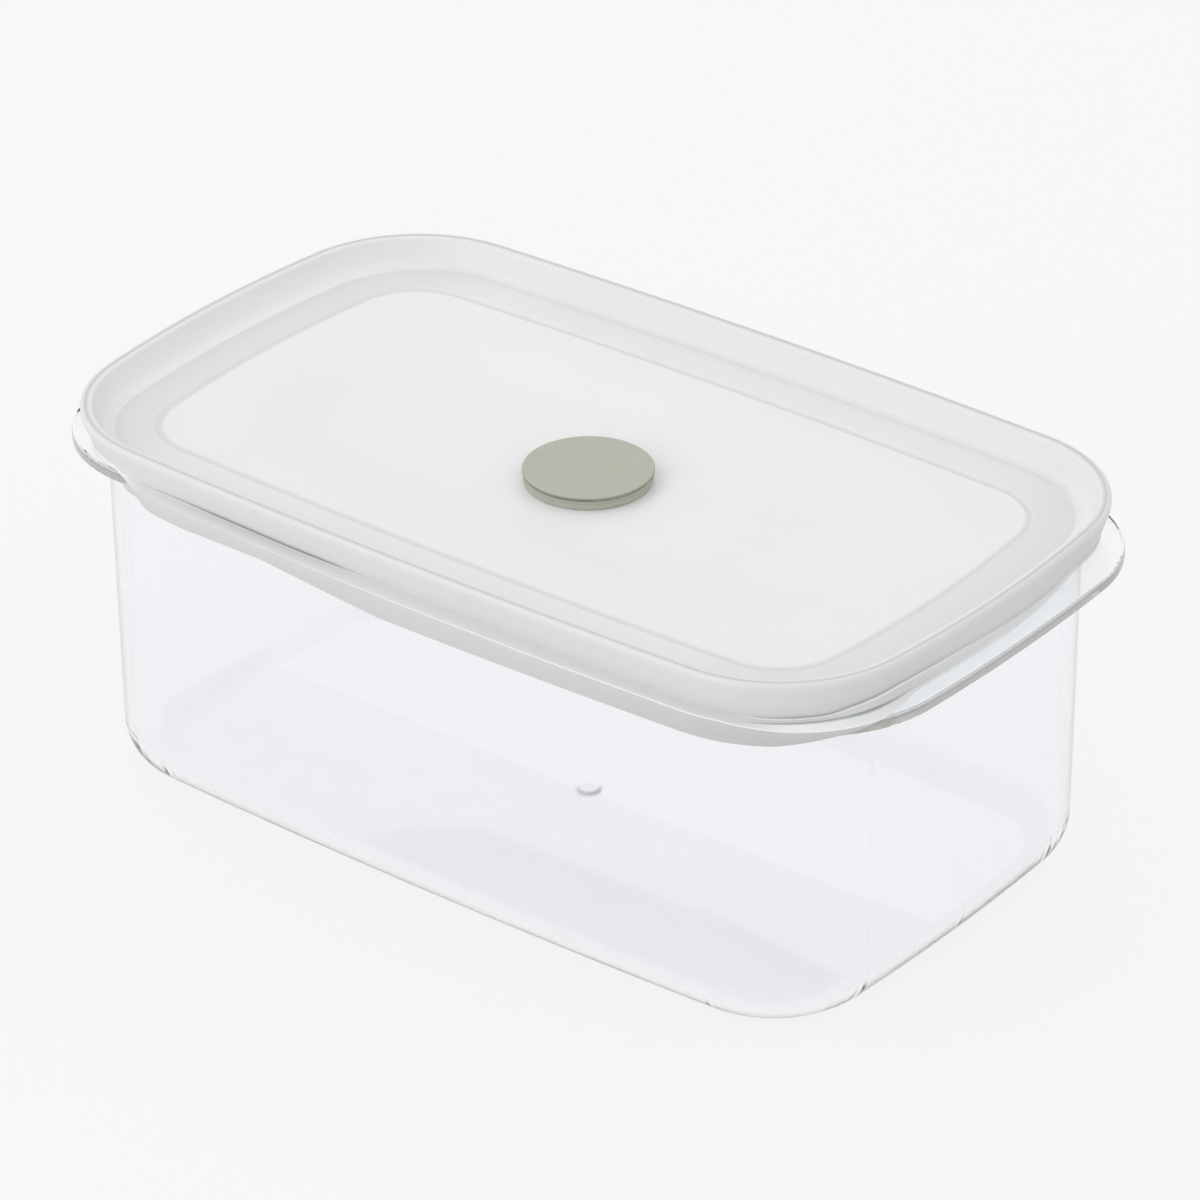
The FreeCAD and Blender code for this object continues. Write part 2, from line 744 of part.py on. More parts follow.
def check_and_export(doc, pieces):
    """Stops if any object failed or any piece isn't one valid solid, then writes the pieces."""
    doc.recompute()
    for item in doc.Objects:
        if "Invalid" in item.State or "Error" in item.State:
            raise RuntimeError(f"{item.Label} failed: {item.State}")
    for piece in pieces:
        shape = piece.Shape
        if shape.isNull() or not shape.isValid() or len(shape.Solids) != 1:
            raise RuntimeError(f"{piece.Label} isn't one valid solid")
    os.makedirs("parts", exist_ok=True)
    for piece in pieces:
        piece.Shape.exportStep(f"parts/{piece.Label}.step")
        print(f"{piece.Label}: {piece.Shape.Volume / 1000:.2f} cm3")


def main():
    doc = FreeCAD.newDocument("vacuum_seal_canister")
    size = make_sheet(doc)
    level = make_levels(size)
    outlines = make_outlines(size)
    makers = (make_tub, make_lid, make_gasket, make_button, make_seal, make_stem, make_retainer)
    check_and_export(doc, [make(doc, size, level, outlines) for make in makers])


main()
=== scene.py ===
"""Looks of the vacuum seal canister: clear tub, milky lid and grey valve on a pale studio floor."""

import collections
import math

import bmesh
import bpy
from mathutils import Euler, Matrix, Vector


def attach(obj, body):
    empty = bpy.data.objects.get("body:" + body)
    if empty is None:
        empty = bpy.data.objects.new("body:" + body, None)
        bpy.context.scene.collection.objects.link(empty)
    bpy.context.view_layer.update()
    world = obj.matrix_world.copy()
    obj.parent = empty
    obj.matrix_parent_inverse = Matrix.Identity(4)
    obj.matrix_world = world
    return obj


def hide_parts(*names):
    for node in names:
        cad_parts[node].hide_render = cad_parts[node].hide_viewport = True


MM = 0.001

# Camera, fitted to the photograph's outlines, in metres and degrees
CAMERA_PLACE = (0.8005, -0.9952, 0.7758)
CAMERA_AZIMUTH = 38.70
CAMERA_ELEVATION = 29.455
CAMERA_ROLL = -0.485
CAMERA_LENS_MM = 184.4
CAMERA_SENSOR_MM = 36.0

# Stage: the floor's own colour, and the one that the camera, mirrors and clear plastic mostly see
FLOOR_RADIUS = 6.0
FLOOR_SIDES = 96
FLOOR_COLOUR = (0.84, 0.84, 0.835)
FLOOR_ROUGHNESS = 0.9
FLOOR_SHOWN = (0.945, 0.948, 0.955)
FLOOR_SHOWN_SHARE = 0.88
WORLD_COLOUR = (0.985, 0.99, 1.0)
WORLD_STRENGTH = 0.93

# Lamps: name, place, size and power in watts, all aimed at the lid's middle
LAMP_TARGET = (0.0, 0.0, 0.09)
LAMPS = (
    ("key_lamp", (-0.9, -0.6, 1.4), 1.4, 3.5),
    ("front_lamp", (-0.3, -1.6, 0.5), 1.2, 4.5),
)

# Colours, as linear red, green and blue
CLEAR = (0.983, 0.99, 1.0)
# Painted shade on the outside of the flange's edge: a grey band, then a darker line
FLANGE_EDGE_SHADE = (0.65, 0.66, 0.61)
FLANGE_SHADE_LINE = (0.48, 0.49, 0.47)
# Painted shade: a dark ring round the gate mark
GATE_SHADE_RING = (0.22, 0.23, 0.23)
MILKY_SHADE = (0.275, 0.303, 0.255)
MILKY_LIGHT = (0.965, 0.97, 0.97)
PALE_SILICONE = (0.75, 0.75, 0.73)
BUTTON_GREY = (0.433, 0.444, 0.38)
BUTTON_WARM = (0.415, 0.42, 0.325)
BUTTON_SIDE = (0.43, 0.44, 0.37)
# Painted shadow: a dark line round the button's side under its lip
BUTTON_SHADOW_LINE = (0.19, 0.2, 0.17)
SEAL_GREY = (0.45, 0.46, 0.39)
INNER_WHITE = (0.8, 0.8, 0.79)
# Share of the light that the tub's wall and the flange's edge let through
WALL_CLEAR = (0.97, 0.97, 0.97)
EDGE_CLEAR = (0.35, 0.35, 0.35)
# Share of a lamp's light that passes through the tub and the lid
TUB_PASSES = (0.92, 0.94, 0.95)
LID_PASSES = (0.5, 0.5, 0.49)

# Bands of colour and clearness: heights or a span in millimetres, and the values at shares of them
FLANGE_BAND = (84.2, 87.2)
# The flange's edge is painted grey with a darker line, as painted shade
FLANGE_COLOURS = ((0.0, CLEAR), (0.06, CLEAR), (0.1, FLANGE_EDGE_SHADE), (0.72, FLANGE_EDGE_SHADE), (0.8, FLANGE_SHADE_LINE),
                  (0.9, CLEAR))
FLANGE_CLEARNESS = ((0.0, WALL_CLEAR), (0.06, WALL_CLEAR), (0.1, EDGE_CLEAR), (0.975, EDGE_CLEAR),
                    (0.995, WALL_CLEAR))
GATE_TOP = 3.2
GATE_SPAN = 6.0
# A painted dark ring of shade round the gate mark
GATE_COLOURS = ((0.0, CLEAR), (0.45, CLEAR), (0.48, GATE_SHADE_RING), (0.53, GATE_SHADE_RING), (0.55, CLEAR))
BUTTON_BAND = (89.35, 90.6)
# A painted dark shadow line round the button's side, under its lip
BUTTON_COLOURS = ((0.0, BUTTON_SIDE), (0.15, BUTTON_SHADOW_LINE), (0.72, BUTTON_SHADOW_LINE), (0.95, BUTTON_GREY))

# Noise patterns, with their features per metre and layers of finer detail
Pattern = collections.namedtuple("Pattern", "scale detail")
SMUDGES = Pattern(60.0, 4.0)
MILKY_CLOUD = Pattern(35.0, 3.0)
MATTE_CLOUD = Pattern(120.0, 3.0)
MILKY_GRAIN = Pattern(2600.0, 2.0)
BUTTON_GRAIN = Pattern(2400.0, 2.0)
INNER_GRAIN = Pattern(2200.0, 2.0)
SILICONE_GRAIN = Pattern(1800.0, 2.0)
# Grain's strength, and its depth in metres
Bump = collections.namedtuple("Bump", "strength depth")
MILKY_BUMP = Bump(0.12, 0.00004)
MATTE_BUMP = Bump(0.35, 0.00005)
# Lowest and highest roughness
CLEAR_ROUGHNESS = (0.03, 0.08)
MILKY_ROUGHNESS = (0.30, 0.42)
BUTTON_ROUGHNESS = (0.5, 0.62)
INNER_ROUGHNESS = (0.4, 0.5)
GASKET_ROUGHNESS = (0.55, 0.65)
SEAL_ROUGHNESS = (0.55, 0.7)
# Noise between which matte colours go from their darker share to full, and the button grows warmer
MATTE_RANGE = (0.3, 0.7)
MATTE_DARKER = 0.94
WARM_RANGE = (0.35, 0.65)
WARM_SHARE = 0.5
# Milky plastic: lowest and highest share of its tone, and share of its light that glows through
MOTTLE = (0.975, 1.02)
MILKY_GLOW = 0.12
# Indices of refraction
CLEAR_IOR = 1.46
MILKY_IOR = 1.45

# Measures of the CAD model in millimetres, with the reaches of the seat and the dish rounded
Outline = collections.namedtuple("Outline", "length width corner end side")
CREST = Outline(240.0, 143.3, 36.0, 330.0, 2000.0)
MOUTH = Outline(224.0, 132.3, 29.5, 635.0, 2000.0)
CREST_TOP = 96.8
CREST_LAND = 2.9
CREST_EDGE = 0.9
CHANNEL_TOP = 94.6
FLOOR_TOP = 90.2
LID_FLOOR = 1.5
LID_WALL = 1.3
WELL_FOOT = 5.2
WELL_ROUND = 3.0
PANEL_LINE = 18.7
PANEL_LINE_HALF = 1.2
PANEL_LINE_DEPTH = 0.5
SEAT = 87.2
SEAT_REACH = 19.4
DISH_REACH = 47.7
DISH_RUN = 48.35
BORE_RADIUS = 3.55
VENT_RADIUS = 1.0
VENT_CIRCLE = 9.5
VENT_COUNT = 6
PLUG_BOTTOM = 80.2
PLUG_OUT = 2.5
SKIRT_BOTTOM = 87.5

# Steps along an end, a corner and a side of an outline, round a rounded edge and in to the bore
END_STEPS = 36
CORNER_STEPS = 56
SIDE_STEPS = 160
ROUND_STEPS = 5
BORE_ROWS = 22
VENT_SIDES = 24
# Share of a run that a rounded corner may take, where the run's other end is round too and where it isn't
SHARED_RUN = 0.45
OWN_RUN = 0.95
# Length of the pegs that cut the vents in millimetres, distance in metres within which points are one,
# tone below which a cut face has none yet, and angle in degrees from which an edge is sharp
VENT_PEG = 6.0
WELD = 0.000002
UNSET_TONE = 0.1
SHARP_ANGLE = 40.0

# Rim's section, in millimetres: line at the foot of the well, and roundings of the panel line
FOOT_LINE = 7.9
FOOT_LINE_HALF = 0.45
GROOVE_EDGE_ROUND = 0.5
GROOVE_ROUND = 1.2
TONE_GAP = 0.6
# Where the crest's land of painted shade and its darker painted line lie, as shares of the land's width
LAND_START = 0.55
LAND_LINE = 0.4
# Drop from the crest to the skirt, height of the skirt's lower tone, and half height of the crease
CREST_DROP = 1.6
SKIRT_LOW_RISE = 0.8
CREASE_HALF = 0.35
# Roundings of the crease, of the ledge's knee, of the fold and of the flap's tip
CREASE_ROUND = 0.1
KNEE_ROUND = 0.2
FOLD_ROUND = 0.15
TIP_ROUND = 0.25
# Painted shade: how much darker the flap's lower tip is than the flap
TIP_PAINTED_SHADE = 0.06
# Least height of the flap, least width of its ledge and skin left under the ledge
LEAST_FLAP = 0.3
LEAST_LEDGE = 0.1
LEDGE_SKIN = 0.2
# Ends of the strip between crease and knee and start of the ledge's own tone, as shares of their widths
STRIP_SHARES = (0.2, 0.8)
LEDGE_START = 0.25
# Strip of painted highlight on either side of the fold: its width, and its limits as shares of the ledge and
# the flap
FOLD_STRIP = 0.25
FOLD_SHARE = 0.4
FOLD_STRIP_SHARE = 0.4
# Inside: share of the skirt's inset that its wall follows, reach of the flap's root and the channel's width
INSET_WALL = 0.9
FLAP_ROOT = 1.2
CHANNEL_WIDTH = 1.0
# Right corner of a flap: where its ledge turns into a strip over the flange, and the strip's height
CORNER_START = 92.0
CORNER_RUN = 12.0
KNEE_LEVEL = 87.95
# Place where the next flap's stretch of the rim begins
LAST_PLACE = 205.0
# Half width over which the tables below are smoothed, and its steps
SOFTENING = 1.2
SOFTENING_STEPS = 8

# Skirt and grip flap: values at places along the rim, in millimetres from the middle of a long side
SKIRT_LINE = (
    (-88.0, 88.5), (-80.0, 89.9), (-66.0, 90.1), (-50.0, 89.9), (-31.0, 89.6), (-10.0, 89.7), (60.0, 89.1),
    (97.0, 88.7), (102.0, 88.4), (116.0, 88.5), (122.0, 89.5), (134.0, 90.7), (156.0, 90.7), (173.0, 90.0),
    (190.0, 89.2), (201.0, 88.5))
SKIRT_INSET = (
    (-140.0, 2.2), (-120.0, 2.2), (-106.0, 2.6), (-92.0, 3.6), (-86.0, 2.4), (-80.0, 0.0), (174.0, 0.0),
    (184.0, 0.3), (193.0, 0.9), (200.0, 1.7), (205.0, 2.2))
FLAP_REACH = (
    (-88.0, 0.15), (-84.0, 0.4), (-79.0, 1.2), (-62.0, 3.0), (101.0, 3.0), (108.0, 3.1), (116.0, 3.6),
    (120.0, 4.4), (124.0, 5.2), (126.0, 5.2), (140.0, 0.8), (174.0, 0.6), (195.0, 0.35), (204.0, 0.15))
KNEE_REACH = (
    (-88.0, 0.05), (-79.0, 0.9), (-62.0, 1.8), (92.0, 1.8), (104.0, 1.3), (124.0, 1.2), (136.0, 0.5),
    (174.0, 0.4), (195.0, 0.2), (204.0, 0.05))
FLAP_FOLD = (
    (-88.0, 87.95), (-84.0, 88.2), (-79.0, 89.0), (-45.0, 89.0), (-16.0, 88.5), (40.0, 88.2), (92.0, 88.2),
    (104.0, 87.0), (108.0, 86.7), (116.0, 86.6), (120.0, 87.0), (124.0, 87.6), (140.0, 87.6), (150.0, 87.9),
    (204.0, 87.95))
FLAP_BOTTOM = (
    (-81.5, 87.5), (-79.0, 86.6), (-76.0, 84.6), (-72.0, 84.4), (-56.0, 85.0), (-38.0, 85.3), (-2.0, 82.4),
    (95.0, 82.8), (104.0, 82.9), (108.0, 83.4), (116.0, 84.7), (120.0, 85.5), (124.0, 86.8), (126.0, 87.5))
FLAP_THICKNESS = ((95.0, 0.9), (116.0, 0.5), (126.0, 0.4), (142.0, 0.9))
CREASE_DEPTH = (
    (-80.0, 0.03), (-74.0, 0.1), (-55.0, 0.7), (-22.0, 0.75), (-8.0, 0.08), (98.0, 0.03), (106.0, 0.3),
    (130.0, 0.3), (150.0, 0.12), (180.0, 0.03))

# Tones of the milky plastic, which paint its light and shade: from 0 for the deepest painted shade to 1 for
# the brightest painted highlight
PANEL_TONE = 0.89
# Painted shade in the panel line's groove
GROOVE_TONE = 0.72
INNER_TONE = 0.755
# Painted shade on the crest's land and a darker painted line along it, and a painted highlight on its
# rounded outer edge
LAND_TONE = 0.6
LAND_LINE_TONE = 0.45
CREST_OUTER_TONE = 0.74
# The skirt's upright face darker than the panel, and the rim's underside darker still, as painted shade
SKIRT_TONE = 0.69
UNDERSIDE_TONE = 0.56
# Tones at places along the rim, painting light and shade: the band darker towards the ends, a painted dark
# line at the well's foot that fades there, and the well and crest's inner edge lighter there
BAND_TONE = ((-105.0, 0.76), (-75.0, 0.84), (75.0, 0.84), (105.0, 0.76))
FOOT_LINE_TONE = ((-125.0, 1.0), (-90.0, 0.72), (90.0, 0.72), (125.0, 1.0))
WELL_TONE = ((-130.0, 0.98), (-95.0, 0.84), (95.0, 0.84), (130.0, 0.98))
CREST_INNER_TONE = ((-130.0, 0.86), (-95.0, 0.82), (95.0, 0.82), (130.0, 0.86))
# Painted light: the skirt's lower part lighter at the ends, and the strip under it lighter towards the right
# end
SKIRT_LOW_TONE = ((-88.0, 0.8), (-80.0, 0.65), (130.0, 0.65), (160.0, 0.74), (204.0, 0.8))
STRIP_TONE = ((130.0, 0.68), (150.0, 0.82), (190.0, 0.9), (204.0, 0.95))
# Painted shade: a dark line in the crease under the skirt
CREASE_SHADE_TONE = (
    (-88.0, 0.8), (-80.0, 0.62), (-70.0, 0.45), (-50.0, 0.12), (-24.0, 0.12), (-8.0, 0.62), (98.0, 0.62),
    (108.0, 0.3), (128.0, 0.3), (146.0, 0.45), (165.0, 0.6), (190.0, 0.65), (204.0, 0.8))
# Painted highlight: a bright line along the skirt's lower edge
LIP_HIGHLIGHT_TONE = (
    (-88.0, 1.0), (-80.0, 0.64), (-55.0, 0.84), (-22.0, 0.84), (-8.0, 0.64), (96.0, 0.64), (106.0, 1.0),
    (148.0, 0.97), (165.0, 0.8), (190.0, 0.8), (204.0, 1.0))
# Painted shade: a dark line at the ledge's knee by the right corner
KNEE_SHADE_TONE = (
    (-88.0, 1.0), (-80.0, 0.64), (96.0, 0.64), (104.0, 0.12), (128.0, 0.12), (138.0, 0.62), (160.0, 0.9),
    (204.0, 1.0))
# Painted light: the ledge lighter by the right corner, and a painted highlight along the fold
LEDGE_TONE = (
    (-88.0, 1.0), (-80.0, 0.64), (96.0, 0.64), (108.0, 0.92), (130.0, 0.92), (140.0, 0.9), (204.0, 1.0))
FOLD_HIGHLIGHT_TONE = (
    (-88.0, 1.0), (-80.0, 0.64), (-60.0, 0.66), (-10.0, 0.8), (30.0, 0.93), (130.0, 1.0), (142.0, 0.9),
    (204.0, 1.0))
# Painted shade: the flap darker towards the right corner, then painted light where it turns into the strip
# over the flange
FLAP_TONE = (
    (-88.0, 0.95), (-80.0, 0.62), (40.0, 0.6), (100.0, 0.5), (122.0, 0.52), (128.0, 0.95), (204.0, 0.95))

# Measures of the skirt and flap at one place along the rim
Section = collections.namedtuple("Section", "line inset reach fold bottom inner knee knee_height under")


def opaque(colour):
    """A colour with full alpha, as Blender's colour sockets take it."""
    return colour + (1.0,)


def new_material(name):
    """A node material, its tree and its Principled shader."""
    material = bpy.data.materials.new(name)
    material.use_nodes = True
    tree = material.node_tree
    shader = tree.nodes["Principled BSDF"]
    return material, tree, shader


def noise(tree, pattern):
    """Noise in the object's own coordinates."""
    place = tree.nodes.new("ShaderNodeTexCoord")
    node = tree.nodes.new("ShaderNodeTexNoise")
    node.inputs["Scale"].default_value = pattern.scale
    node.inputs["Detail"].default_value = pattern.detail
    tree.links.new(place.outputs["Object"], node.inputs["Vector"])
    return node


def vary_roughness(tree, shader, source, span):
    """Roughness that wanders between two values with the noise."""
    spread = tree.nodes.new("ShaderNodeMapRange")
    spread.inputs["To Min"].default_value = span[0]
    spread.inputs["To Max"].default_value = span[1]
    tree.links.new(source.outputs["Fac"], spread.inputs["Value"])
    tree.links.new(spread.outputs["Result"], shader.inputs["Roughness"])


def vary_colour(tree, shader, source, colour):
    """Base colour that wanders between a colour and a darker share of it with the noise."""
    darker = tuple(MATTE_DARKER * part for part in colour)
    ramp = tree.nodes.new("ShaderNodeValToRGB")
    for mark, share, shade in zip(ramp.color_ramp.elements, MATTE_RANGE, (darker, colour)):
        mark.position = share
        mark.color = opaque(shade)
    tree.links.new(source.outputs["Fac"], ramp.inputs["Fac"])
    tree.links.new(ramp.outputs["Color"], shader.inputs["Base Color"])


def add_bump(tree, shader, source, bump):
    """Surface texture from the noise."""
    node = tree.nodes.new("ShaderNodeBump")
    node.inputs["Strength"].default_value = bump.strength
    node.inputs["Distance"].default_value = bump.depth
    tree.links.new(source.outputs["Fac"], node.inputs["Height"])
    tree.links.new(node.outputs["Normal"], shader.inputs["Normal"])


def height_share(tree, low, high):
    """How far up between two heights in millimetres a spot lies, from 0 to 1."""
    place = tree.nodes.new("ShaderNodeTexCoord")
    parts = tree.nodes.new("ShaderNodeSeparateXYZ")
    rise = tree.nodes.new("ShaderNodeMapRange")
    rise.inputs["From Min"].default_value = low * MM
    rise.inputs["From Max"].default_value = high * MM
    tree.links.new(place.outputs["Object"], parts.inputs["Vector"])
    tree.links.new(parts.outputs["Z"], rise.inputs["Value"])
    return rise


def distance_share(tree, height, far):
    """How far a spot lies from a height on the upright axis, as a share of a distance, in millimetres."""
    place = tree.nodes.new("ShaderNodeTexCoord")
    away = tree.nodes.new("ShaderNodeVectorMath")
    away.operation = "DISTANCE"
    away.inputs[1].default_value = (0.0, 0.0, height * MM)
    share = tree.nodes.new("ShaderNodeMapRange")
    share.inputs["From Max"].default_value = far * MM
    tree.links.new(place.outputs["Object"], away.inputs[0])
    tree.links.new(away.outputs["Value"], share.inputs["Value"])
    return share


def bands(tree, source, stops):
    """Colours at shares of a height or distance, blended between."""
    ramp = tree.nodes.new("ShaderNodeValToRGB")
    marks = ramp.color_ramp.elements
    marks.remove(marks[1])
    marks[0].position = stops[0][0]
    marks[0].color = opaque(stops[0][1])
    for share, colour in stops[1:]:
        marks.new(share).color = opaque(colour)
    tree.links.new(source.outputs["Result"], ramp.inputs["Fac"])
    return ramp


def colour_mix(tree, blend_type):
    """A node that mixes two colours."""
    mix = tree.nodes.new("ShaderNodeMix")
    mix.data_type = "RGBA"
    mix.blend_type = blend_type
    return mix


def let_lamps_through(tree, surface, colour):
    """Lets a share of each lamp's light pass, as a clear or milky wall does."""
    path = tree.nodes.new("ShaderNodeLightPath")
    passing = tree.nodes.new("ShaderNodeBsdfTransparent")
    passing.inputs["Color"].default_value = opaque(colour)
    mix = tree.nodes.new("ShaderNodeMixShader")
    tree.links.new(path.outputs["Is Shadow Ray"], mix.inputs["Fac"])
    tree.links.new(surface, mix.inputs[1])
    tree.links.new(passing.outputs["BSDF"], mix.inputs[2])
    tree.links.new(mix.outputs["Shader"], tree.nodes["Material Output"].inputs["Surface"])


def clear_plastic():
    """Polished clear plastic, less clear and painted grey as shade on the outside of the flange's edge, with
    a painted dark ring of shade round the gate mark.
    """
    material, tree, shader = new_material("clear_plastic")
    shader.inputs["IOR"].default_value = CLEAR_IOR
    rise = height_share(tree, *FLANGE_BAND)
    colours = bands(tree, rise, FLANGE_COLOURS)
    clearness = bands(tree, rise, FLANGE_CLEARNESS)
    gate = bands(tree, distance_share(tree, GATE_TOP, GATE_SPAN), GATE_COLOURS)
    marked = colour_mix(tree, "DARKEN")
    marked.inputs["Factor"].default_value = 1.0
    tree.links.new(colours.outputs["Color"], marked.inputs["A"])
    tree.links.new(gate.outputs["Color"], marked.inputs["B"])
    skin = tree.nodes.new("ShaderNodeNewGeometry")
    inside_or_out = colour_mix(tree, "MIX")
    inside_or_out.inputs["B"].default_value = opaque(CLEAR)
    tree.links.new(skin.outputs["Backfacing"], inside_or_out.inputs["Factor"])
    tree.links.new(marked.outputs["Result"], inside_or_out.inputs["A"])
    tree.links.new(inside_or_out.outputs["Result"], shader.inputs["Base Color"])
    passing = tree.nodes.new("ShaderNodeMath")
    passing.operation = "MAXIMUM"
    tree.links.new(clearness.outputs["Color"], passing.inputs[0])
    tree.links.new(skin.outputs["Backfacing"], passing.inputs[1])
    tree.links.new(passing.outputs["Value"], shader.inputs["Transmission Weight"])
    vary_roughness(tree, shader, noise(tree, SMUDGES), CLEAR_ROUGHNESS)
    let_lamps_through(tree, shader.outputs["BSDF"], TUB_PASSES)
    return material


def milky_plastic():
    """Soft translucent plastic with a satin skin, its colour painting light and shade from the mesh's tone:
    darker as painted shade, whiter as painted highlights along edges and folds.
    """
    material, tree, shader = new_material("milky_plastic")
    shader.inputs["IOR"].default_value = MILKY_IOR
    # The mesh's tone, which paints light and shade
    painted_tone = tree.nodes.new("ShaderNodeAttribute")
    painted_tone.attribute_name = "tone"
    cloud = noise(tree, MILKY_CLOUD)
    mottle = tree.nodes.new("ShaderNodeMapRange")
    mottle.inputs["To Min"].default_value = MOTTLE[0]
    mottle.inputs["To Max"].default_value = MOTTLE[1]
    tree.links.new(cloud.outputs["Fac"], mottle.inputs["Value"])
    tone = tree.nodes.new("ShaderNodeMath")
    tone.operation = "MULTIPLY"
    tree.links.new(painted_tone.outputs["Fac"], tone.inputs[0])
    tree.links.new(mottle.outputs["Result"], tone.inputs[1])
    ramp = tree.nodes.new("ShaderNodeValToRGB")
    ramp.color_ramp.elements[0].color = opaque(MILKY_SHADE)
    ramp.color_ramp.elements[1].color = opaque(MILKY_LIGHT)
    tree.links.new(tone.outputs["Value"], ramp.inputs["Fac"])
    tree.links.new(ramp.outputs["Color"], shader.inputs["Base Color"])
    vary_roughness(tree, shader, cloud, MILKY_ROUGHNESS)
    add_bump(tree, shader, noise(tree, MILKY_GRAIN), MILKY_BUMP)
    glow = tree.nodes.new("ShaderNodeBsdfTranslucent")
    tree.links.new(ramp.outputs["Color"], glow.inputs["Color"])
    mix = tree.nodes.new("ShaderNodeMixShader")
    mix.inputs["Fac"].default_value = MILKY_GLOW
    tree.links.new(shader.outputs["BSDF"], mix.inputs[1])
    tree.links.new(glow.outputs["BSDF"], mix.inputs[2])
    let_lamps_through(tree, mix.outputs["Shader"], LID_PASSES)
    return material


def soft_matte(name, colour, grain, roughness):
    """Matte soft plastic or silicone with a fine grain."""
    material, tree, shader = new_material(name)
    cloud = noise(tree, MATTE_CLOUD)
    vary_colour(tree, shader, cloud, colour)
    vary_roughness(tree, shader, cloud, roughness)
    add_bump(tree, shader, noise(tree, grain), MATTE_BUMP)
    return material


def button_plastic():
    """Matte grey plastic with a painted shadow: a darker line round the button's side, under its lip."""
    material, tree, shader = new_material("grey_button")
    colours = bands(tree, height_share(tree, *BUTTON_BAND), BUTTON_COLOURS)
    cloud = noise(tree, MATTE_CLOUD)
    warmth = tree.nodes.new("ShaderNodeMapRange")
    warmth.inputs["From Min"].default_value = WARM_RANGE[0]
    warmth.inputs["From Max"].default_value = WARM_RANGE[1]
    warmth.inputs["To Max"].default_value = WARM_SHARE
    tree.links.new(cloud.outputs["Fac"], warmth.inputs["Value"])
    blend = colour_mix(tree, "MIX")
    blend.inputs["B"].default_value = opaque(BUTTON_WARM)
    tree.links.new(warmth.outputs["Result"], blend.inputs["Factor"])
    tree.links.new(colours.outputs["Color"], blend.inputs["A"])
    tree.links.new(blend.outputs["Result"], shader.inputs["Base Color"])
    vary_roughness(tree, shader, cloud, BUTTON_ROUGHNESS)
    add_bump(tree, shader, noise(tree, BUTTON_GRAIN), MATTE_BUMP)
    return material


def dress(frame, milky):
    """Gives every CAD node its material."""
    inner = soft_matte("white_plastic", INNER_WHITE, INNER_GRAIN, INNER_ROUGHNESS)
    looks = {
        "tub": clear_plastic(),
        "lid": milky,
        "lid_gasket": soft_matte("pale_silicone", PALE_SILICONE, SILICONE_GRAIN, GASKET_ROUGHNESS),
        "valve_button": button_plastic(),
        "valve_seal": soft_matte("grey_silicone", SEAL_GREY, SILICONE_GRAIN, SEAL_ROUGHNESS),
        "valve_stem": inner,
        "valve_retainer": inner,
    }
    for name, material in looks.items():
        for slot in frame["nodes"][name].material_slots:
            slot.material = material


def arcs_of(outline):
    """Centre, radius, first and last angle of an outline's eight arcs, from its +X end round to the left."""
    end_centre = outline.length / 2 - outline.end
    side_centre = outline.width / 2 - outline.side
    end_reach = outline.end - outline.corner
    side_reach = outline.side - outline.corner
    apart = math.hypot(end_centre, side_centre)
    along = (apart ** 2 + end_reach ** 2 - side_reach ** 2) / (2 * apart)
    aside = math.sqrt(end_reach ** 2 - along ** 2)
    corner_x = end_centre - (along * end_centre + aside * side_centre) / apart
    corner_y = (along * side_centre - aside * end_centre) / apart
    end_angle = math.atan2(corner_y, corner_x - end_centre)
    side_angle = math.atan2(corner_y - side_centre, corner_x)
    half = math.pi
    return (
        (end_centre, 0.0, outline.end, -end_angle, end_angle),
        (corner_x, corner_y, outline.corner, end_angle, side_angle),
        (0.0, side_centre, outline.side, side_angle, half - side_angle),
        (-corner_x, corner_y, outline.corner, half - side_angle, half - end_angle),
        (-end_centre, 0.0, outline.end, half - end_angle, half + end_angle),
        (-corner_x, -corner_y, outline.corner, half + end_angle, half + side_angle),
        (0.0, -side_centre, outline.side, half + side_angle, 2 * half - side_angle),
        (corner_x, -corner_y, outline.corner, 2 * half - side_angle, 2 * half - end_angle),
    )


def stations(outline):
    """Centre, radius and angle of each station round an outline."""
    marks = []
    counts = (END_STEPS, CORNER_STEPS, SIDE_STEPS, CORNER_STEPS) * 2
    for (x, y, radius, first, last), count in zip(arcs_of(outline), counts):
        for step in range(count):
            marks.append((x, y, radius, first + (last - first) * step / count))
    return marks


def spot(mark, offset):
    """The point at an offset outside a station."""
    x, y, radius, angle = mark
    reach = radius + offset
    return x + reach * math.cos(angle), y + reach * math.sin(angle)


def reading(table, place):
    """Value of a table at a place, straight between its entries."""
    if place <= table[0][0]:
        return table[0][1]
    for (left, low), (right, high) in zip(table, table[1:]):
        if place <= right:
            return low + (high - low) * (place - left) / (right - left)
    return table[-1][1]


def soft_reading(table, place):
    """The same with its corners rounded off."""
    shifts = [SOFTENING * (2 * step / SOFTENING_STEPS - 1) for step in range(SOFTENING_STEPS + 1)]
    return sum(reading(table, place + shift) for shift in shifts) / len(shifts)


def room(run, neighbour):
    """How much of the run to its neighbour a rounded corner may take."""
    return run.length * (SHARED_RUN if neighbour[2] > 0.0 else OWN_RUN)


def round_corner(before, here, after):
    """Points of a rounded corner. A corner is (offset, height, radius, tone)."""
    offset, height, radius, tone = here
    if radius == 0.0:
        return [(offset, height, tone)]
    corner = Vector((offset, height))
    back = Vector(before[:2]) - corner
    ahead = Vector(after[:2]) - corner
    half_angle = back.angle(ahead) / 2
    reach = min(radius / math.tan(half_angle), room(back, before), room(ahead, after))
    start = corner + back.normalized() * reach
    end = corner + ahead.normalized() * reach
    points = []
    for step in range(ROUND_STEPS + 1):
        share = step / ROUND_STEPS
        point = start.lerp(corner, share).lerp(corner.lerp(end, share), share)
        points.append((point.x, point.y, tone))
    return points


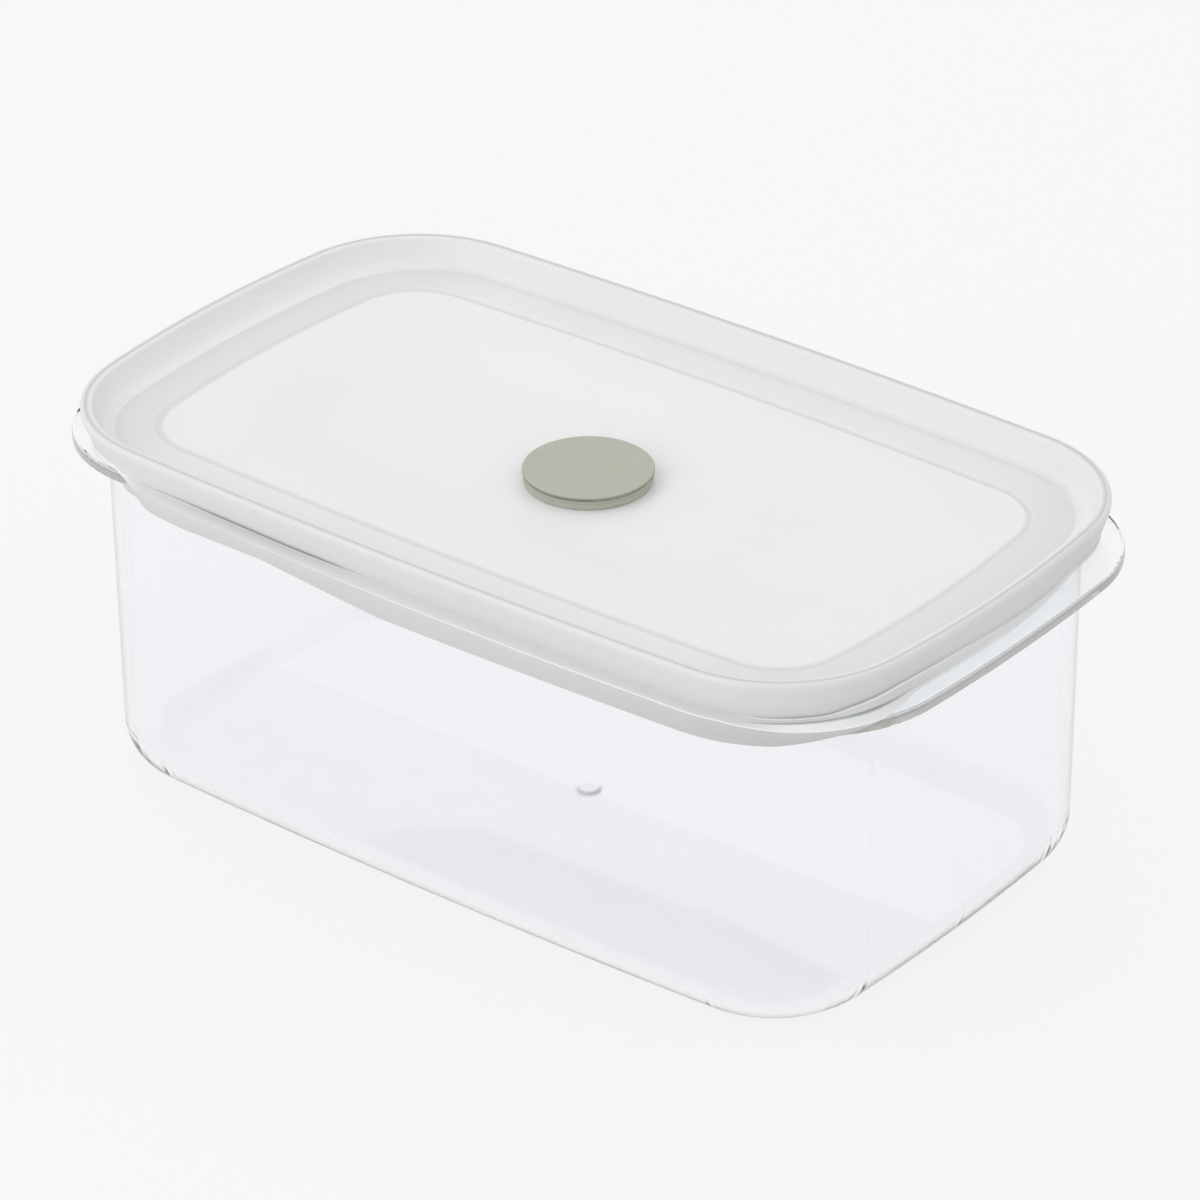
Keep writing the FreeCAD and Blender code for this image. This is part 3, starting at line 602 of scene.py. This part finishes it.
def section_at(place):
    """Measures of the skirt and flap at a place along the rim."""
    line = soft_reading(SKIRT_LINE, place)
    inset = soft_reading(SKIRT_INSET, place)
    reach = soft_reading(FLAP_REACH, place)
    fold = soft_reading(FLAP_FOLD, place)
    bottom = min(soft_reading(FLAP_BOTTOM, place), fold - LEAST_FLAP)
    inner = reach - soft_reading(FLAP_THICKNESS, place)
    knee = min(soft_reading(KNEE_REACH, place), reach - LEAST_LEDGE)
    straight = line - (line - fold) * knee / reach
    corner_share = min(max((place - CORNER_START) / CORNER_RUN, 0.0), 1.0)
    knee_height = straight + (KNEE_LEVEL - straight) * corner_share
    ledge_inside = knee_height + (fold - knee_height) * (inner - knee) / (reach - knee)
    under = min(SKIRT_BOTTOM, ledge_inside - LEDGE_SKIN)
    return Section(line, inset, reach, fold, bottom, inner, knee, knee_height, under)


def rim_top(place):
    """Corners from the panel line out over the well to the crest."""
    groove_inside = -PANEL_LINE - PANEL_LINE_HALF
    groove_outside = -PANEL_LINE + PANEL_LINE_HALF
    band_tone = soft_reading(BAND_TONE, place)
    well_tone = soft_reading(WELL_TONE, place)
    return [
        (groove_inside - TONE_GAP, FLOOR_TOP, 0.0, PANEL_TONE),
        (groove_inside, FLOOR_TOP, GROOVE_EDGE_ROUND, PANEL_TONE),
        (-PANEL_LINE, FLOOR_TOP - PANEL_LINE_DEPTH, GROOVE_ROUND, GROOVE_TONE),
        (groove_outside, FLOOR_TOP, GROOVE_EDGE_ROUND, band_tone),
        (groove_outside + TONE_GAP, FLOOR_TOP, 0.0, band_tone),
        (-FOOT_LINE - FOOT_LINE_HALF, FLOOR_TOP, 0.0, band_tone),
        (-FOOT_LINE, FLOOR_TOP, 0.0, soft_reading(FOOT_LINE_TONE, place)),
        (-FOOT_LINE + FOOT_LINE_HALF, FLOOR_TOP, 0.0, well_tone),
        (-WELL_FOOT, FLOOR_TOP, WELL_ROUND, well_tone),
        (-CREST_LAND, CREST_TOP, CREST_EDGE, soft_reading(CREST_INNER_TONE, place)),
        (-LAND_START * CREST_LAND, CREST_TOP, 0.0, LAND_TONE),
        (-LAND_LINE * CREST_LAND, CREST_TOP, 0.0, LAND_LINE_TONE),
    ]


def rim_outside(place, section):
    """Corners from the crest down the skirt and over the flap's ledge to its lower edge."""
    line = section.line
    inset = section.inset
    reach = section.reach
    fold = section.fold
    bottom = section.bottom
    knee = section.knee
    knee_height = section.knee_height
    skirt_top = CREST_TOP - CREST_DROP
    above = line + CREASE_HALF
    lip = line - CREASE_HALF
    slant = inset / (skirt_top - line)
    width = reach - knee
    drop = fold - knee_height
    crease_tone = soft_reading(CREASE_SHADE_TONE, place)
    low_tone = soft_reading(SKIRT_LOW_TONE, place)
    strip_tone = soft_reading(STRIP_TONE, place)
    ledge_tone = soft_reading(LEDGE_TONE, place)
    flap_tone = soft_reading(FLAP_TONE, place)
    strip = [(share * knee - inset, lip + (knee_height - lip) * share, 0.0, strip_tone)
             for share in STRIP_SHARES]
    ledge = [(knee + width * share - inset, knee_height + drop * share, 0.0, ledge_tone)
             for share in (LEDGE_START, max(FOLD_SHARE, 1.0 - FOLD_STRIP / width))]
    return [
        (0.0, CREST_TOP, CREST_EDGE, CREST_OUTER_TONE),
        (0.0, skirt_top, 0.0, SKIRT_TONE),
        (-slant * (skirt_top - above - SKIRT_LOW_RISE), above + SKIRT_LOW_RISE, 0.0, low_tone),
        (-inset, above, CREASE_ROUND, (crease_tone + low_tone) / 2),
        (-inset - soft_reading(CREASE_DEPTH, place), line, CREASE_ROUND, crease_tone),
        (-inset, lip, CREASE_ROUND, soft_reading(LIP_HIGHLIGHT_TONE, place)),
        *strip,
        (knee - inset, knee_height, KNEE_ROUND, soft_reading(KNEE_SHADE_TONE, place)),
        *ledge,
        (reach - inset, fold, FOLD_ROUND, soft_reading(FOLD_HIGHLIGHT_TONE, place)),
        (reach - inset, fold - min(FOLD_STRIP, FOLD_STRIP_SHARE * (fold - bottom)), 0.0, flap_tone),
        (reach - inset, bottom, TIP_ROUND, flap_tone - TIP_PAINTED_SHADE),
    ]


def rim_underside(section):
    """Corners from the flap's lower edge back under the rim to the lid's floor."""
    inset = section.inset
    inner = section.inner
    return [
        (inner - inset, section.bottom, 0.0, UNDERSIDE_TONE),
        (inner - inset, max(section.bottom, section.under), 0.0, UNDERSIDE_TONE),
        (min(FLAP_ROOT, inner - LEAST_LEDGE) - inset, SKIRT_BOTTOM, 0.0, UNDERSIDE_TONE),
        (-LID_WALL - INSET_WALL * inset, SKIRT_BOTTOM, 0.0, UNDERSIDE_TONE),
        (-LID_WALL, CHANNEL_TOP, 0.0, INNER_TONE),
        (-LID_WALL - CHANNEL_WIDTH, CHANNEL_TOP, 0.0, INNER_TONE),
        (-WELL_FOOT + LID_WALL, FLOOR_TOP - LID_FLOOR, 0.0, INNER_TONE),
    ]


def rim_profile(place):
    """Corners of the rim's section at a place, from the panel line out over the crest and back under."""
    section = section_at(place)
    return rim_top(place) + rim_outside(place, section) + rim_underside(section)


def places(marks):
    """How far each station lies along the rim from the middle of its long side, which counts to the left
    on the back and to the right on the front."""
    points = [Vector(spot(mark, 0.0)) for mark in marks]
    travelled = [0.0]
    for point, following in zip(points, points[1:] + points[:1]):
        travelled.append(travelled[-1] + (following - point).length)
    around = travelled[-1]
    back = END_STEPS + CORNER_STEPS + SIDE_STEPS // 2
    shifts = [(length - travelled[back]) % (around / 2) for length in travelled[:-1]]
    return [shift if shift < LAST_PLACE else shift - around / 2 for shift in shifts]


def rim_rows(marks):
    """Rows of points along the rim, each right round the lid: lists of (x, y, height, tone)."""
    columns = []
    for mark, place in zip(marks, places(marks)):
        corners = rim_profile(place)
        column = []
        for index, here in enumerate(corners):
            before = corners[max(index - 1, 0)]
            after = corners[min(index + 1, len(corners) - 1)]
            for offset, height, tone in round_corner(before, here, after):
                column.append(spot(mark, offset) + (height, tone))
        columns.append(column)
    return [list(row) for row in zip(*columns)]


def panel_height(x, y):
    """Height of the panel's top: a flat seat round the valve that rises softly to the floor."""
    away = math.hypot(max(abs(x) - DISH_RUN, 0.0), y)
    share = min(max((away - SEAT_REACH) / (DISH_REACH - SEAT_REACH), 0.0), 1.0)
    return SEAT + (FLOOR_TOP - SEAT) * share * share * (3.0 - 2.0 * share)


def panel_rows(ring, drop):
    """Rows from a ring of points in to the valve's bore, a drop below the panel's top."""
    rows = []
    for row in range(1, BORE_ROWS + 1):
        share = row / BORE_ROWS
        points = []
        for x, y, _, _ in ring:
            angle = math.atan2(y, x)
            in_x = x + (BORE_RADIUS * math.cos(angle) - x) * share
            in_y = y + (BORE_RADIUS * math.sin(angle) - y) * share
            points.append((in_x, in_y, panel_height(in_x, in_y) - drop, PANEL_TONE))
        rows.append(points)
    return rows


def plug_rows():
    """Rows of the plug that reaches into the tub."""
    outside = -PLUG_OUT
    inside = -PLUG_OUT - LID_WALL
    root = FLOOR_TOP - LID_FLOOR
    rows = []
    for offset, height in ((outside, root), (outside, PLUG_BOTTOM), (inside, PLUG_BOTTOM), (inside, root)):
        rows.append([spot(mark, offset) + (height, INNER_TONE) for mark in stations(MOUTH)])
    return rows


def lid_mesh():
    """The lid as one closed skin: rim, plug, underside, bore and panel, row after row."""
    rows = rim_rows(stations(CREST))
    panel = panel_rows(rows[0], 0.0)
    rows += plug_rows()
    rows += panel_rows(rows[-1], LID_FLOOR)
    rows += reversed(panel)
    shape = bmesh.new()
    tone = shape.verts.layers.float.new("tone")
    grid = []
    for row in rows:
        line = []
        for x, y, height, value in row:
            vertex = shape.verts.new((x * MM, y * MM, height * MM))
            vertex[tone] = value
            line.append(vertex)
        grid.append(line)
    for row, following in zip(grid, grid[1:] + grid[:1]):
        for index, vertex in enumerate(row):
            shape.faces.new((row[index - 1], vertex, following[index], following[index - 1]))
    bmesh.ops.remove_doubles(shape, verts=shape.verts[:], dist=WELD)
    bmesh.ops.recalc_face_normals(shape, faces=shape.faces[:])
    mesh = bpy.data.meshes.new("lid_cover")
    shape.to_mesh(mesh)
    shape.free()
    return mesh


def vent_cutter():
    """Pegs that stand where the vents go."""
    shape = bmesh.new()
    radius = VENT_RADIUS * MM
    for number in range(VENT_COUNT):
        angle = 2.0 * math.pi * number / VENT_COUNT
        place = (VENT_CIRCLE * MM * math.cos(angle), VENT_CIRCLE * MM * math.sin(angle), SEAT * MM)
        bmesh.ops.create_cone(shape, cap_ends=True, segments=VENT_SIDES, radius1=radius, radius2=radius,
                              depth=VENT_PEG * MM, matrix=Matrix.Translation(place))
    mesh = bpy.data.meshes.new("vent_cutter")
    shape.to_mesh(mesh)
    shape.free()
    cutter = bpy.data.objects.new("vent_cutter", mesh)
    bpy.context.scene.collection.objects.link(cutter)
    return cutter


def cut_vents(piece):
    """Cuts the vents and keeps the result as the piece's own mesh."""
    cutter = vent_cutter()
    cut = piece.modifiers.new("vents", "BOOLEAN")
    cut.operation = "DIFFERENCE"
    cut.solver = "EXACT"
    cut.object = cutter
    bpy.context.view_layer.update()
    seen = piece.evaluated_get(bpy.context.evaluated_depsgraph_get())
    mesh = bpy.data.meshes.new_from_object(seen)
    piece.modifiers.clear()
    piece.data = mesh
    bpy.data.objects.remove(cutter)
    for value in mesh.attributes["tone"].data:
        if value.value < UNSET_TONE:
            value.value = PANEL_TONE


def add_lid(milky):
    """The milky lid with its soft edges, in place of the CAD lid."""
    piece = bpy.data.objects.new("lid_cover", lid_mesh())
    bpy.context.scene.collection.objects.link(piece)
    cut_vents(piece)
    mesh = piece.data
    mesh.name = "lid_cover"
    mesh.materials.clear()
    mesh.materials.append(milky)
    mesh.polygons.foreach_set("use_smooth", [True] * len(mesh.polygons))
    mesh.set_sharp_from_angle(angle=math.radians(SHARP_ANGLE))
    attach(piece, "lid")
    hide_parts("lid")


def floor_material():
    """Pale floor that camera, mirror and see-through rays meet as a plain pale ground with a soft shadow."""
    material, tree, shader = new_material("studio_floor")
    shader.inputs["Base Color"].default_value = opaque(FLOOR_COLOUR)
    shader.inputs["Roughness"].default_value = FLOOR_ROUGHNESS
    shader.inputs["Specular IOR Level"].default_value = 0.0
    path = tree.nodes.new("ShaderNodeLightPath")
    glow = tree.nodes.new("ShaderNodeEmission")
    glow.inputs["Color"].default_value = opaque(FLOOR_SHOWN)
    seen = path.outputs["Is Camera Ray"]
    for name in ("Is Glossy Ray", "Is Transmission Ray"):
        total = tree.nodes.new("ShaderNodeMath")
        total.operation = "MAXIMUM"
        tree.links.new(seen, total.inputs[0])
        tree.links.new(path.outputs[name], total.inputs[1])
        seen = total.outputs["Value"]
    share = tree.nodes.new("ShaderNodeMath")
    share.operation = "MULTIPLY"
    share.inputs[1].default_value = FLOOR_SHOWN_SHARE
    tree.links.new(seen, share.inputs[0])
    mix = tree.nodes.new("ShaderNodeMixShader")
    tree.links.new(share.outputs["Value"], mix.inputs["Fac"])
    tree.links.new(shader.outputs["BSDF"], mix.inputs[1])
    tree.links.new(glow.outputs["Emission"], mix.inputs[2])
    tree.links.new(mix.outputs["Shader"], tree.nodes["Material Output"].inputs["Surface"])
    return material


def add_floor():
    """The round floor under the object."""
    mesh = bpy.data.meshes.new("studio_floor")
    shape = bmesh.new()
    bmesh.ops.create_circle(shape, cap_ends=True, segments=FLOOR_SIDES, radius=FLOOR_RADIUS)
    shape.to_mesh(mesh)
    shape.free()
    mesh.materials.append(floor_material())
    floor = bpy.data.objects.new("studio_floor", mesh)
    bpy.context.scene.collection.objects.link(floor)


def add_world():
    """Even light from all round."""
    world = bpy.data.worlds.new("studio_world")
    world.use_nodes = True
    background = world.node_tree.nodes["Background"]
    background.inputs["Color"].default_value = opaque(WORLD_COLOUR)
    background.inputs["Strength"].default_value = WORLD_STRENGTH
    bpy.context.scene.world = world


def add_lamps():
    """Round soft lamps aimed at the lid."""
    for name, place, size, power in LAMPS:
        lamp = bpy.data.lights.new(name, "AREA")
        lamp.shape = "DISK"
        lamp.size = size
        lamp.energy = power
        holder = bpy.data.objects.new(name, lamp)
        holder.location = place
        holder.rotation_euler = (Vector(LAMP_TARGET) - Vector(place)).to_track_quat("-Z", "Y").to_euler()
        bpy.context.scene.collection.objects.link(holder)


def add_camera():
    """The camera at the photograph's place and angle."""
    lens = bpy.data.cameras.new("photo_camera")
    lens.lens = CAMERA_LENS_MM
    lens.sensor_width = CAMERA_SENSOR_MM
    camera = bpy.data.objects.new("photo_camera", lens)
    tilt = math.radians(90.0 - CAMERA_ELEVATION)
    turn = Euler((tilt, 0.0, math.radians(CAMERA_AZIMUTH))).to_matrix().to_4x4()
    roll = Matrix.Rotation(math.radians(CAMERA_ROLL), 4, "Z")
    camera.matrix_world = Matrix.Translation(CAMERA_PLACE) @ turn @ roll
    bpy.context.scene.collection.objects.link(camera)
    bpy.context.scene.camera = camera


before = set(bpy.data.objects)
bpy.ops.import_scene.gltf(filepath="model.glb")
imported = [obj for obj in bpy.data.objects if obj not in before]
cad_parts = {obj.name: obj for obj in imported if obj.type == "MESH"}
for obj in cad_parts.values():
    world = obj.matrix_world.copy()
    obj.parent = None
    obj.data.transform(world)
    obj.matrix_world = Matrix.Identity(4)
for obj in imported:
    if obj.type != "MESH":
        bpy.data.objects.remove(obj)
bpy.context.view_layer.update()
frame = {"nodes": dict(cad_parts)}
bpy.context.scene.view_settings.view_transform = "Standard"
add_camera()
add_world()
add_lamps()
add_floor()
milky = milky_plastic()
dress(frame, milky)
add_lid(milky)
